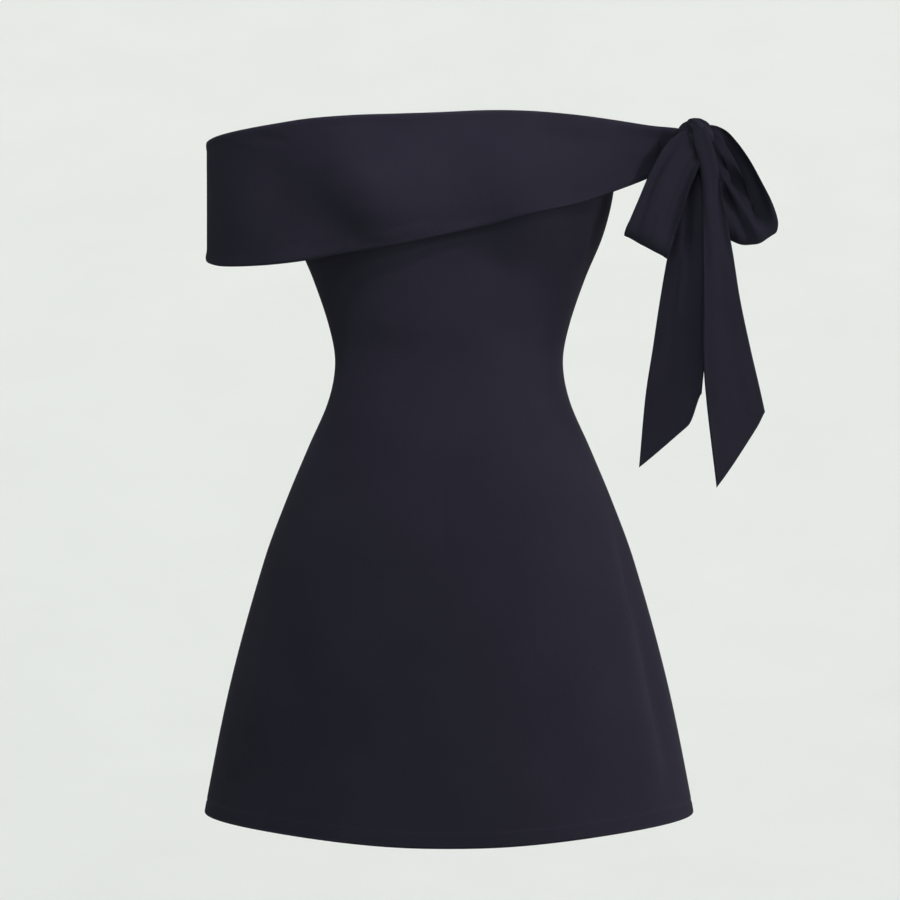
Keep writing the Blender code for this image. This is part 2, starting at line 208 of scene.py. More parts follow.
# %% Hang the lights
WAIST = (0, 0, -0.2)
SKIRT = (0, 0, -0.5)
CHEST = (-0.01, -0.1, 0.06)
PAPER_MIDDLE = (0, WALL_Y, -0.5)
Lamp = namedtuple("Lamp", "place aim size watts spread tint", defaults=[180, "#FFF5FF"])
LAMPS = {
    "front_fill": Lamp((-1.5, -2.7, -0.3), SKIRT, (1.4, 1.0), 13, tint="#F2FFFF"),
    "top_fill": Lamp((0.3, -2.4, 1.75), WAIST, (0.9, 0.6), 30, tint="#F8F8FF"),
    "band_light": Lamp((-0.01, -0.9, 1.4), CHEST, (0.3, 0.3), 0.3, spread=17, tint="#FFECFF"),
    "right_fill": Lamp((2.15, -1.3, 0.5), WAIST, (0.5, 0.5), 31),
    "right_strip": Lamp((2.3, 0.0, -0.5), SKIRT, (0.45, 0.5), 0.85, spread=28),
}
for side in (-1, 1):
    place = (2.4 * side, 1.2, 2.2)
    LAMPS[f"wall_wash_{side}"] = Lamp(place, PAPER_MIDDLE, (2.0, 1.0), 46, tint="#FFFFFF")
ROOM_COLOUR = "#E0EEEC"
ROOM_STRENGTH = 0.46


def soft_box(name, lamp):
    """A rectangular light turned towards its aim. A grid in front of it narrows its spread."""
    light = bpy.data.lights.new(name, "AREA")
    light.shape = "RECTANGLE"
    light.size, light.size_y = lamp.size
    light.energy = lamp.watts
    light.spread = math.radians(lamp.spread)
    light.color = linear(lamp.tint)[:3]
    box = add_to_scene(name, light, lamp.place)
    box.visible_camera = False
    box.rotation_euler = (box.location - Vector(lamp.aim)).to_track_quat("Z", "Y").to_euler()


for lamp_name, lamp in LAMPS.items():
    soft_box(lamp_name, lamp)
room = bpy.data.worlds.new("room")
room.use_nodes = True
room_light = room.node_tree.nodes["Background"]
room_light.inputs["Color"].default_value = linear(ROOM_COLOUR)
room_light.inputs["Strength"].default_value = ROOM_STRENGTH
bpy.context.scene.world = room

# %% [markdown]
# ## Smooth curves through a table
#
# A dressmaker measures a form at a few heights and draws a fair curve through the marks. The
# tables below do the same for this dress, in millimetres. Those of the body and the band are the
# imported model's. A Bezier curve could be drawn through the marks by hand, but a curve worked out
# from its neighbours' slopes passes through every mark and needs no handles.

# %% Curves and blends


def mix(first, second, share):
    return first + (second - first) * share


def smooth_step(share):
    share = np.clip(share, 0, 1)
    return share * share * (3 - 2 * share)


def curve_through(keys, values):
    """A smooth curve through a table's values. Past either end it runs on straight."""
    keys = np.asarray(keys, float)
    values = np.asarray(values, float)
    last = len(keys) - 1
    low = np.maximum(np.arange(last + 1) - 1, 0)
    high = np.minimum(np.arange(last + 1) + 1, last)
    slopes = (values[high] - values[low]) / (keys[high] - keys[low])

    def value_at(key):
        inside = np.clip(key, keys[0], keys[-1])
        i = np.clip(np.searchsorted(keys, inside, side="right") - 1, 0, last - 1)
        step = keys[i + 1] - keys[i]
        t = (inside - keys[i]) / step
        curve = (1 + 2 * t) * (1 - t) ** 2 * values[i] + t * (1 - t) ** 2 * slopes[i] * step
        curve += t * t * (3 - 2 * t) * values[i + 1] + t * t * (t - 1) * slopes[i + 1] * step
        beyond = np.where(key < keys[0], slopes[0], slopes[-1]) * (key - inside)
        return curve + beyond

    return value_at


def columns_of(table, keys=None):
    """Each named column of a table as a smooth curve, by the given keys or by row number."""
    keys = range(len(table)) if keys is None else keys
    fields = table[0]._fields
    return {name: curve_through(keys, [getattr(row, name) for row in table]) for name in fields}


print("a curve through 0, 1, 4 at 1.5:", curve_through([0, 1, 2], [0, 1, 4])(1.5))

# %% [markdown]
# ## The form of the body
#
# The body is cut in one from neckline to hem, fitted at the bust and waist and flared below. It
# could be lofted from drawn circles. Level rings in a table are easier to read and to change:
# each gives a half width, a depth in front and behind, and how square the ring is.

# %% The body's rings
BodyRing = namedtuple("BodyRing", "z half_width front back roundness")
BODY_RINGS = [
    BodyRing(z=-670, half_width=264, front=168, back=157, roundness=2.1),
    BodyRing(z=-623, half_width=256.5, front=163, back=154, roundness=2.1),
    BodyRing(z=-496, half_width=230.5, front=150, back=146, roundness=2.1),
    BodyRing(z=-369, half_width=195.5, front=130, back=132, roundness=2.1),
    BodyRing(z=-305, half_width=172, front=116, back=119, roundness=2.1),
    BodyRing(z=-250, half_width=149, front=102, back=101, roundness=2.15),
    BodyRing(z=-200, half_width=127.5, front=89, back=83, roundness=2.2),
    BodyRing(z=-160, half_width=120.5, front=82, back=74, roundness=2.2),
    BodyRing(z=-123, half_width=126.5, front=84, back=76, roundness=2.2),
    BodyRing(z=-72, half_width=143.5, front=89, back=83, roundness=2.25),
    BodyRing(z=-25, half_width=163, front=96, back=91, roundness=2.3),
    BodyRing(z=20, half_width=174, front=97, back=93, roundness=2.3),
    BodyRing(z=60, half_width=176, front=92, back=90, roundness=2.3),
    BodyRing(z=110, half_width=168, front=82, back=82, roundness=2.3),
]
BODY = columns_of(BODY_RINGS, [ring.z for ring in BODY_RINGS])
FRONT = -1
BACK = 1
BUST_X = 82
BUST_Z = 2
BUST_FULLNESS = 20
BUST_SPREAD_X = 46
BUST_SPREAD_UP = 62
BUST_SPREAD_DOWN = 38


def bust_fullness(x, z):
    """How far the front stands out over the bust."""
    across = (np.abs(x) - BUST_X) / BUST_SPREAD_X
    along = (z - BUST_Z) / np.where(z > BUST_Z, BUST_SPREAD_UP, BUST_SPREAD_DOWN)
    return BUST_FULLNESS * np.exp(-across * across - along * along)


def reach_at(z, side):
    return np.where(side < 0, BODY["front"](z), BODY["back"](z))


def with_bust(depth, x, z, side):
    """A depth with the bust on it, which fades out before the side seam."""
    full = bust_fullness(x, z) * smooth_step(2 * depth / reach_at(z, side))
    return depth + np.where(side < 0, full, 0)


def body_depth(x, z, side):
    """How far the body's ring reaches forwards or back at x."""
    power = BODY["roundness"](z)
    share = np.minimum(1, np.abs(x) / BODY["half_width"](z))
    return with_bust(reach_at(z, side) * (1 - share**power) ** (1 / power), x, z, side)


print("body depth in front at the waist:", round(float(body_depth(0, -160, FRONT)), 1), "mm")

# %% [markdown]
# ## The form of the band
#
# The band is one doubled strip. It starts at the bow, crosses the chest, goes round the far arm
# and comes back across the shoulder blades. Its table walks the same way, and each station gives
# its low edge and its top fold. Over the body it stands off the dress by a few millimetres.

# %% The band's stations
BandStation = namedtuple("BandStation", "x y_top y_low z_top z_low billow")
BAND_STATIONS = [
    BandStation(x=256, y_top=-31, y_low=-31, z_top=81, z_low=64, billow=0),
    BandStation(x=238, y_top=-33, y_low=-33, z_top=85, z_low=49, billow=1),
    BandStation(x=210, y_top=-43, y_low=-44, z_top=86.5, z_low=33, billow=2),
    BandStation(x=170, y_top=-60, y_low=-64, z_top=90.5, z_low=16, billow=3),
    BandStation(x=130, y_top=-73, y_low=-84, z_top=94, z_low=1, billow=5),
    BandStation(x=83, y_top=-83, y_low=-104, z_top=96.5, z_low=-11, billow=6),
    BandStation(x=37, y_top=-89, y_low=-98, z_top=96.7, z_low=-23, billow=5),
    BandStation(x=-9, y_top=-91, y_low=-94, z_top=94.7, z_low=-33, billow=4),
    BandStation(x=-55, y_top=-88, y_low=-93, z_top=93.3, z_low=-42, billow=7),
    BandStation(x=-102, y_top=-79, y_low=-88, z_top=92.7, z_low=-48, billow=9),
    BandStation(x=-144, y_top=-69, y_low=-77, z_top=91, z_low=-56, billow=3),
    BandStation(x=-181, y_top=-60, y_low=-66, z_top=86.5, z_low=-60, billow=2),
    BandStation(x=-213, y_top=-49, y_low=-53, z_top=82, z_low=-61, billow=3),
    BandStation(x=-237, y_top=-35, y_low=-37, z_top=78, z_low=-60, billow=2),
    BandStation(x=-250.5, y_top=-16, y_low=-17, z_top=75, z_low=-56, billow=1),
    BandStation(x=-254.5, y_top=5, y_low=5, z_top=73.5, z_low=-52, billow=0),
    BandStation(x=-250, y_top=26, y_low=27, z_top=74.5, z_low=-53, billow=1),
    BandStation(x=-235, y_top=44, y_low=46, z_top=77, z_low=-52, billow=2),
    BandStation(x=-208, y_top=58, y_low=60, z_top=80, z_low=-50, billow=3),
    BandStation(x=-168, y_top=69, y_low=74, z_top=84, z_low=-47, billow=3),
    BandStation(x=-110, y_top=80, y_low=90, z_top=87, z_low=-40, billow=3),
    BandStation(x=-37, y_top=87, y_low=98, z_top=88, z_low=-27, billow=3),
    BandStation(x=37, y_top=87, y_low=98, z_top=88, z_low=-10, billow=3),
    BandStation(x=110, y_top=80, y_low=88, z_top=87, z_low=10, billow=3),
    BandStation(x=170, y_top=66, y_low=70, z_top=86, z_low=28, billow=3),
    BandStation(x=213, y_top=48, y_low=50, z_top=84, z_low=43, billow=2),
    BandStation(x=243, y_top=24, y_low=24, z_top=82, z_low=54, billow=1),
    BandStation(x=257, y_top=-2, y_low=-2, z_top=80, z_low=60, billow=0),
    BandStation(x=261, y_top=-24, y_low=-24, z_top=78, z_low=64, billow=0),
]
BAND = columns_of(BAND_STATIONS)
LAST_STATION = len(BAND_STATIONS) - 1
OUTER_ARM = 15
STANDS_OFF_LOW = 2.5
STANDS_OFF_TOP = 2.2
BAND_BLEND = 5
ARM_FADE = 12
BILLOW_LEAN = 0.75


def band_point(station, share):
    """A point on the band's inner face, at a share of its height from low edge to top fold."""
    x = BAND["x"](station)
    z = mix(BAND["z_low"](station), BAND["z_top"](station), share)
    y = mix(BAND["y_low"](station), BAND["y_top"](station), share)
    side = np.where(y < 0, FRONT, BACK)
    height = np.clip(share, 0, 1) ** BILLOW_LEAN
    depth = np.abs(y) + BAND["billow"](station) * np.sin(np.pi * height)
    beside_body = smooth_step((np.abs(x) - BODY["half_width"](z)) / ARM_FADE + 1)
    stands_off = mix(STANDS_OFF_LOW, STANDS_OFF_TOP, smooth_step(share))
    body = body_depth(x, z, side) + stands_off
    over_body = (depth + body + np.hypot(depth - body, BAND_BLEND)) / 2
    depth = mix(over_body, depth, beside_body)
    return np.stack([x, side * depth, z], axis=-1)


POINTS_A_STATION = 100
all_stations = np.linspace(0, LAST_STATION, LAST_STATION * POINTS_A_STATION + 1)
all_x = BAND["x"](all_stations)
print("band runs from x", round(all_x.min(), 1), "to", round(all_x.max(), 1), "mm")

# %% [markdown]
# ## Where the body meets the band
#
# The neckline is sewn to the inside of the band, so the body's top margin leans out to meet it.
# The hem hangs a little lower at the middle than at the side seams, as a flared skirt does. A
# shrinkwrap could pull the panel to the band, but a blend of the two surfaces stays smooth.

# %% The body's surface
HEM_SIDE_Z = -635
HEM_MIDDLE_DROP = 17
HEM_FLATNESS = 2.5
UNDERARM_Z = 27
NECK_RISE_FRONT = 54
NECK_RISE_BACK = 48
NECK_CURVE = 1.6
FRONT_STATIONS = (1, 13)
BACK_STATIONS = (17, 26)
SEWN_HALF_WIDTH = 112
SEWN_FADE = 40
SEWN_DEPTH = 32
SEWN_GAP = 1.0


def neck_z(angle):
    rise = np.where(np.sin(angle) < 0, NECK_RISE_FRONT, NECK_RISE_BACK)
    return UNDERARM_Z + rise * np.abs(np.sin(angle)) ** NECK_CURVE


def hem_z(angle):
    return HEM_SIDE_Z - HEM_MIDDLE_DROP * (1 - np.abs(np.cos(angle)) ** HEM_FLATNESS)


def sewn_depth(x, z, side):
    """How deep the band's inner face is where it passes a point of the neckline."""
    first, last = FRONT_STATIONS if side < 0 else BACK_STATIONS
    part = slice(first * POINTS_A_STATION, last * POINTS_A_STATION + 1)
    order = np.argsort(all_x[part])
    station = np.interp(x, all_x[part][order], all_stations[part][order])
    low = BAND["z_low"](station)
    top = BAND["z_top"](station)
    return np.abs(band_point(station, (z - low) / (top - low))[..., 1])


def body_point(angle, z, side):
    """A point on the body's outer face."""
    power = BODY["roundness"](z)
    across = np.abs(np.cos(angle)) / BODY["half_width"](z)
    along = np.abs(np.sin(angle)) / reach_at(z, side)
    radius = (across**power + along**power) ** (-1 / power)
    x = radius * np.cos(angle)
    depth = with_bust(radius * np.abs(np.sin(angle)), x, z, side)
    margin = smooth_step(1 - (neck_z(angle) - z) / SEWN_DEPTH)
    sewn = margin * smooth_step(1 - (np.abs(x) - SEWN_HALF_WIDTH) / SEWN_FADE)
    depth = mix(depth, sewn_depth(x, z, side) - SEWN_GAP, sewn)
    return np.stack([x, side * depth, z], axis=-1)


print("front neckline at the middle:", round(float(neck_z(-math.pi / 2)), 1), "mm")

# %% [markdown]
# ## Folds
#
# Cloth that is pulled or that hangs makes soft troughs and ridges. A cloth simulation could find
# some, but not the ones of this dress in their places. So each fold is a row in a table, in
# millimetres on the flat piece: where it starts and ends, how far it bows aside, its width and
# its height, with a minus for a trough. Lean makes one of its sides steeper than the other. What
# runs along an edge, such as a line of stitches, is a row too, placed by how far in it lies.

# %% Press folds into a piece
Fold = namedtuple("Fold", "start end width height bow lean", defaults=[0, 0])
FOLD_END = 0.3


def fold_heights(folds, across, along):
    """How far all the folds together lift each point of a flat piece."""
    lifted = np.zeros(np.shape(across))
    for fold in folds:
        step_x = fold.end[0] - fold.start[0]
        step_y = fold.end[1] - fold.start[1]
        length = math.hypot(step_x, step_y)
        from_x = across - fold.start[0]
        from_y = along - fold.start[1]
        share = (from_x * step_x + from_y * step_y) / length**2
        aside = (from_x * step_y - from_y * step_x) / length - fold.bow * 4 * share * (1 - share)
        width = fold.width * (1 + fold.lean * np.tanh(aside / fold.width))
        ends = smooth_step(share / FOLD_END) * smooth_step((1 - share) / FOLD_END)
        lifted += fold.height * ends * np.exp(-((aside / width) ** 2))
    return lifted


EdgeLine = namedtuple("EdgeLine", "place width height")


def edge_heights(lines, distance):
    """How high all the lines along an edge are together, at a distance from it."""
    return sum(line.height * np.exp(-(((distance - line.place) / line.width) ** 2)) for line in lines)


print("a 2 mm ridge at its middle:", fold_heights([Fold((0, 0), (0, 100), 9, 2)], 0.0, 50.0))

# %% [markdown]
# ## A wall of cloth
#
# Real cloth has two faces and an edge. A Solidify modifier would give them, but with square
# edges and the same thickness all over. Here the wall is built from its middle out: an outer
# face, an inner face, and a rim that is rounded where the cloth is folded over and plain where
# it is sewn to its neighbour. The flat lengths along the cloth become its UV map, in metres, so
# that the weave keeps its real size on every piece.

# %% Build cloth walls
MM = 0.001
RIM_STEPS = 6


def lengths_along(points, axis):
    """The distance along each row or column of a grid of points, from its first point."""
    steps = np.linalg.norm(np.diff(points, axis=axis), axis=-1)
    padding = [(0, 0), (0, 0)]
    padding[axis] = (1, 0)
    return np.pad(np.cumsum(steps, axis=axis), padding)


def normals_of(points):
    """The outward direction at each point. Seen from outside, rows run right and columns up."""
    turned = np.cross(np.gradient(points, axis=1), np.gradient(points, axis=0))
    return turned / np.linalg.norm(turned, axis=-1, keepdims=True)


def unit(vectors):
    """Each vector at length 1. One of no length stays as it is."""
    return vectors / np.maximum(np.linalg.norm(vectors, axis=-1, keepdims=True), 1e-9)


def way_out(points, rims, rounded):
    """The direction out of the piece at each point of its rounded rims, and nothing elsewhere."""
    outwards = np.zeros(points.shape)
    for side in rounded:
        edge, inside = rims[side]
        outwards[edge] += unit(points[edge] - points[inside])
    return unit(outwards)


def map_cloth(mesh, flat, rubbed):
    """Gives each corner its place on the flat cloth, in metres, and each point its wear."""
    corners = np.empty(len(mesh.loops), np.int32)
    mesh.loops.foreach_get("vertex_index", corners)
    mesh.uv_layers.new(name="flat_cloth").data.foreach_set("uv", (flat[corners] * MM).reshape(-1))
    wear = mesh.attributes.new("rubbed", "FLOAT", "POINT")
    wear.data.foreach_set("value", rubbed.astype(np.float32))
    mesh.shade_smooth()


def cloth_wall(name, outer, inner, flat, rounded, rubbed):
    """A closed wall between two faces, as grids of points in millimetres.

    rounded gives the rims that are folds rather than seams, from low, right, top and left."""
    index, face = grid_quads(*outer.shape[:2])
    count = index.size
    rims = {
        "low": (index[0, :], index[1, :]),
        "right": (index[:, -1], index[:, -2]),
        "top": (index[-1, ::-1], index[-2, ::-1]),
        "left": (index[::-1, 0], index[::-1, 1]),
    }
    middle = ((outer + inner) / 2).reshape(-1, 3)
    across = (outer - inner).reshape(-1, 3) / 2
    outwards = way_out(middle, rims, rounded) * np.linalg.norm(across, axis=-1, keepdims=True)
    middle = middle - outwards
    loop = np.concatenate([edge[:-1] for edge, _ in rims.values()])
    layers = [middle + across]
    for turn in np.pi * np.arange(1, RIM_STEPS) / RIM_STEPS:
        bulge = middle[loop] + across[loop] * math.cos(turn) + outwards[loop] * math.sin(turn)
        layers.append(bulge)
    layers.append(middle - across)
    vertices = np.concatenate(layers)
    last_layer = count + (RIM_STEPS - 1) * len(loop)
    quads = [face, last_layer + face[:, ::-1]]
    rings = [loop]
    rings += [count + k * len(loop) + np.arange(len(loop)) for k in range(RIM_STEPS - 1)]
    rings.append(last_layer + loop)
    for here, there in zip(rings[:-1], rings[1:]):
        quads.append(np.stack([np.roll(here, -1), here, there, np.roll(there, -1)], axis=-1))
    quads = np.concatenate(quads)
    source = np.concatenate([np.arange(count), np.tile(loop, RIM_STEPS - 1), np.arange(count)])
    mesh = bpy.data.meshes.new(name)
    mesh.from_pydata((vertices * MM).tolist(), [], quads.tolist())
    map_cloth(mesh, flat.reshape(-1, 2)[source], rubbed.reshape(-1)[source])
    mesh.validate()
    piece = add_to_scene(name, mesh)
    box = (vertices.max(axis=0) - vertices.min(axis=0)).round(1)
    print(f"{name}: {2 * len(quads)} triangles, {box} mm")
    return piece


print("rim steps on each folded edge:", RIM_STEPS)

# %% [markdown]
# ## The crepe
#
# The cloth is polyester crepe with elastane, a matt stretch cloth. Its hard-twisted yarns pull
# up into a fine pebbled face that scatters light, so almost no shine is left even where it turns
# away. A satin would show bright lines on every fold. The crepe's yarns lie about 0.4 mm apart,
# too fine for this picture, so they are drawn 1.6 mm apart. The dye is a black with a little
# violet in it, taken up a touch less in patches, and folds and hems that get rubbed are greyer.
# Threads could be modelled one by one, but a relief from two crossed waves looks the same here.

# %% Mix the crepe
YARN_DRAWN = 0.0016
YARNS_AT_SCALE_1 = 3.183
YARN_WANDER = 0.6
PEBBLE_DRAWN = 0.0035
PEBBLE_HEIGHT = 1.4
RELIEF_DEPTH = 0.0003
RELIEF_STRENGTH = 0.35
ROUGHNESS = (0.86, 0.96)
SHINE = 0.04
DYE_PATCH = 0.09
DYE = "#1F1E26"
DYE_THINNER = "#222129"
DYE_RUBBED = "#2A2832"


def noise(tree, place, size, detail):
    """Soft patches of about this size in metres."""
    node = add_node(tree, "ShaderNodeTexNoise", Vector=place, Scale=1 / size, Detail=detail)
    return node.outputs["Fac"]


def yarns(tree, place, direction):
    """Parallel yarns across one direction of the flat cloth."""
    settings = {"wave_type": "BANDS", "bands_direction": direction}
    scale = 1 / YARN_DRAWN / YARNS_AT_SCALE_1
    sizes = {"Scale": scale, "Distortion": YARN_WANDER}
    return add_node(tree, "ShaderNodeTexWave", settings, Vector=place, **sizes).outputs["Fac"]


def crepe(name):
    """The dress's cloth: dyed, pebbled and woven, with almost no shine."""
    material, tree, output = new_material(name)
    flat = add_node(tree, "ShaderNodeUVMap", {"uv_map": "flat_cloth"}).outputs[0]
    patches = remap(tree, noise(tree, flat, DYE_PATCH, 3.0), (0.3, 0.7), (0.0, 1.0))
    rubbed = add_node(tree, "ShaderNodeAttribute", {"attribute_name": "rubbed"}).outputs["Fac"]
    dyed = blend(tree, patches, linear(DYE), linear(DYE_THINNER))
    worn = blend(tree, rubbed, dyed, linear(DYE_RUBBED))
    pebbles = noise(tree, flat, PEBBLE_DRAWN, 2.0)
    weave = [yarns(tree, flat, direction) for direction in ("X", "Y")]
    crossing = add_node(tree, "ShaderNodeMath", {"operation": "MULTIPLY"}, _0=weave[0], _1=weave[1])
    heights = {"_0": pebbles, "_1": PEBBLE_HEIGHT, "_2": crossing.outputs[0]}
    relief = add_node(tree, "ShaderNodeMath", {"operation": "MULTIPLY_ADD"}, **heights).outputs[0]
    bump = add_node(
        tree, "ShaderNodeBump", Strength=RELIEF_STRENGTH, Distance=RELIEF_DEPTH, Height=relief
    )
    surface = add_node(
        tree,
        "ShaderNodeBsdfPrincipled",
        Base_Color=worn,
        Roughness=remap(tree, pebbles, (0.2, 0.8), ROUGHNESS),
        Normal=bump.outputs[0],
        IOR=1.45,
        Specular_IOR_Level=SHINE,
    )
    tree.links.new(surface.outputs[0], output.inputs[0])
    return material


dress_crepe = crepe("black_stretch_crepe")
print("yarn drawn", YARN_DRAWN * 1000, "mm apart, for a real 0.4 mm")

# %% [markdown]
# ## The two body panels
#
# The front and back panels are sewn together at the sides. Here they lie 0.04 mm apart, so that no
# light comes through the seam. Each could be a subdivided plane that is pulled into shape, but it
# is a fine grid worked out on the body's surface. Its rows crowd at the hem, where the edge is
# turned up inside and stitched, so the line of stitches can be pressed in, and its columns crowd
# at the side seams for the same reason. The skirt is smooth at the middle and falls in long soft
# folds near its sides.

# %% Make the body panels
BODY_CLOTH = 1.6
HEM_CLOTH = 2.6
SEAM_GAP = 0.04
HEM_TURN = 13.5
HEM_TURN_FADE = 2
HEM_STITCHES = [EdgeLine(place=13, width=1.3, height=-0.55)]
HEM_WEAR = [EdgeLine(place=0, width=2, height=0.6), EdgeLine(place=15, width=1.5, height=0.35)]
SEAM_LINES = [EdgeLine(place=0, width=1.6, height=-0.7), EdgeLine(place=5, width=3, height=0.25)]
SEAM_WEAR = [EdgeLine(place=2.5, width=1.5, height=0.3)]
FOLDS_FADE_NECK = 60
FOLDS_FADE_SEAM = 30
STITCHES_FADE_SEAM = 6
HEM_ROWS = [0, 1, 2.5, 5, 8, 10.5, 12, 12.7, 13.3, 14, 15.5, 18, 22]
PANEL_ROWS = 176
SEAM_COLUMNS = [0, 0.0012, 0.003, 0.006, 0.011, 0.018]
PANEL_COLUMNS = 108
FRONT_FOLDS = [
    Fold((166, 350), (232, 5), 17, 4.6, bow=-3, lean=0.3),
    Fold((192, 345), (268, 0), 16, -6.5, bow=-3),
    Fold((-190, 250), (-232, 30), 20, 2.6, bow=5, lean=-0.3),
    Fold((-160, 270), (-178, 20), 22, -1.8, bow=4),
    Fold((96, 240), (120, 10), 34, -1.6, bow=-5),
    Fold((-90, 230), (-104, 15), 36, 1.4, bow=6),
    Fold((-6, 400), (-8, 210), 7, -0.7, bow=1),
    Fold((92, 590), (84, 440), 24, 1.9, bow=2),
    Fold((168, 678), (158, 590), 13, 2.0),
    Fold((12, 600), (138, 606), 16, -1.8, bow=6),
    Fold((30, 520), (112, 548), 12, -1.6, bow=5),
    Fold((-35, 512), (-116, 532), 14, -1.3, bow=-6),
    Fold((88, 470), (126, 500), 7, 0.9, bow=3),
    Fold((-84, 458), (-122, 486), 8, 0.8, bow=-3),
]
BACK_FOLDS = [
    Fold((-175, 300), (-228, 35), 24, 3.0, bow=6, lean=-0.3),
    Fold((150, 290), (196, 30), 28, 2.8, bow=-6, lean=0.2),
    Fold((70, 260), (92, 10), 30, -1.8, bow=5),
    Fold((-60, 250), (-84, 12), 32, -1.5, bow=-5),
    Fold((4, 340), (10, 60), 22, 1.1, bow=4),
    Fold((-60, 470), (48, 476), 8, -0.9, bow=5),
    Fold((-74, 490), (66, 500), 9, -1.1, bow=4),
    Fold((-40, 452), (62, 449), 7, -0.7, bow=-3),
]


def flat_of(points, middle_column=None):
    """The flat place of each grid point in millimetres: across and up the piece."""
    across = lengths_along(points, 1)
    if middle_column is not None:
        across = across - across[:, middle_column : middle_column + 1]
    return np.stack([across, lengths_along(points, 0)], axis=-1)


def crowded_shares(ends, count):
    """Shares from 0 to 1 that crowd at both ends."""
    ends = np.array(ends)
    return np.concatenate([ends, np.linspace(ends[-1], 1 - ends[-1], count)[1:-1], 1 - ends[::-1]])


def panel_grid(side):
    """Points on the body's outer face, from side seam to side seam and from hem to neck."""
    shares = crowded_shares(SEAM_COLUMNS, PANEL_COLUMNS)
    hem_rows = np.array(HEM_ROWS, float)
    climbs = np.linspace(0, 1, PANEL_ROWS)[1:]
    start = -math.pi if side < 0 else 0
    rough = start + math.pi * shares
    total = neck_z(rough) - hem_z(rough)
    heights = [np.full(shares.shape, height) for height in hem_rows]
    heights += [mix(hem_rows[-1], total, climb) for climb in climbs]
    z = hem_z(rough) + np.array(heights)
    seam = np.arcsin(SEAM_GAP / 2 / BODY["half_width"](z))
    angle = start + seam + shares * (math.pi - 2 * seam)
    return body_point(angle, z, side)


def body_panel(name, side, folds):
    """One panel. Its folds are placed from its middle and its hem."""
    grid = panel_grid(side)
    flat = flat_of(grid, grid.shape[1] // 2)
    up = flat[..., 1]
    to_seam = np.minimum(lengths_along(grid, 1), lengths_along(grid[:, ::-1], 1)[:, ::-1])
    to_neck = up[-1:] - up
    lift = fold_heights(folds, flat[..., 0], up)
    lift *= smooth_step(to_neck / FOLDS_FADE_NECK) * smooth_step(to_seam / FOLDS_FADE_SEAM)
    lift += edge_heights(HEM_STITCHES, up) * smooth_step(to_seam / STITCHES_FADE_SEAM)
    lift += edge_heights(SEAM_LINES, to_seam)
    normals = normals_of(grid)
    thickness = mix(HEM_CLOTH, BODY_CLOTH, smooth_step((up - HEM_TURN) / HEM_TURN_FADE))[..., None]
    outer = grid + normals * lift[..., None]
    inner = outer - normals * thickness
    rubbed = edge_heights(HEM_WEAR, up) + edge_heights(SEAM_WEAR, to_seam)
    panel = cloth_wall(name, outer, inner, flat, ("low", "top"), rubbed)
    widths = lengths_along(grid, 1)[:, -1]
    area = ((widths[1:] + widths[:-1]) / 2 * np.diff(up.mean(axis=1))).sum() * MM**2
    print(f"{name}: hem {widths[0]:.0f} mm, height {up[-1].max():.0f} mm, about {area:.3f} m2")
    return panel


front_panel = body_panel("cloth_body_front", FRONT, FRONT_FOLDS)
back_panel = body_panel("cloth_body_back", BACK, BACK_FOLDS)

# %% [markdown]
# ## The band
#
# The band's top is a fold and its low edge is a fold too, so both are plump: the cloth can't be
# creased flat there. It is widest on the chest, stands out over the bust, and turns round the
# arm in a smooth cuff. The pull towards the bow makes long shallow folds that fan out from it. A
# flat strip bent along a curve would gape, so the grid is worked out from the stations, in two
# lengths that meet on the outer arm.

# %% Make the band
DOUBLED_CLOTH = 2.4
BAND_COLUMNS_FRONT = 300
BAND_COLUMNS_BACK = 240
LOW_PUFF = [EdgeLine(place=4.5, width=4.5, height=1.3)]
TOP_PUFF = [EdgeLine(place=4, width=4, height=0.91)]
LOW_WEAR = [EdgeLine(place=1, width=3, height=0.55)]
TOP_WEAR = [EdgeLine(place=1, width=3, height=0.5)]
FOLDS_FADE_LOW = 18
FOLDS_FADE_TOP = 14
FULL_PUFF_HEIGHT = 60
INNER_FACE_DEEPEST = -1.2
INNER_FACE_FOLLOWS = 0.8
BAND_SHARES = [0, 0.008, 0.018, 0.032, 0.05, 0.075]
BAND_ROWS = 40
BAND_FRONT_FOLDS = [
    Fold((440, 138), (366, 6), 28, 2.4, bow=4),
    Fold((480, 52), (378, 22), 19, -1.8, bow=3),
    Fold((486, 126), (396, 20), 26, -2.2, bow=-3),
    Fold((24, 70), (40, 2), 8, -4.5, bow=2),
    Fold((400, 116), (338, 48), 19, 2.0, bow=-5),
    Fold((334, 126), (288, 52), 15, 1.1, bow=5),
    Fold((392, 12), (296, 9), 5, 2.0, bow=1),
    Fold((474, 3), (440, 15), 3.2, 1.3),
    Fold((486, 9), (450, 22), 3, -1.1),
    Fold((484, 146), (428, 131), 4, 1.1, bow=2),
    Fold((478, 137), (434, 125), 4, -1.0, bow=-1),
    Fold((512, 138), (462, 120), 4, 0.8),
    Fold((226, 110), (90, 62), 17, 1.5, bow=8, lean=0.3),
    Fold((196, 82), (84, 46), 13, -1.4, bow=6),
    Fold((150, 80), (36, 42), 9, 1.3, bow=3),
    Fold((110, 66), (22, 30), 7, -1.3, bow=2),
    Fold((84, 36), (14, 16), 6, 1.1, bow=-2),
    Fold((80, 62), (12, 30), 4.5, 0.8, bow=1),
    Fold((540, 128), (532, 24), 16, 1.2, bow=4),
]
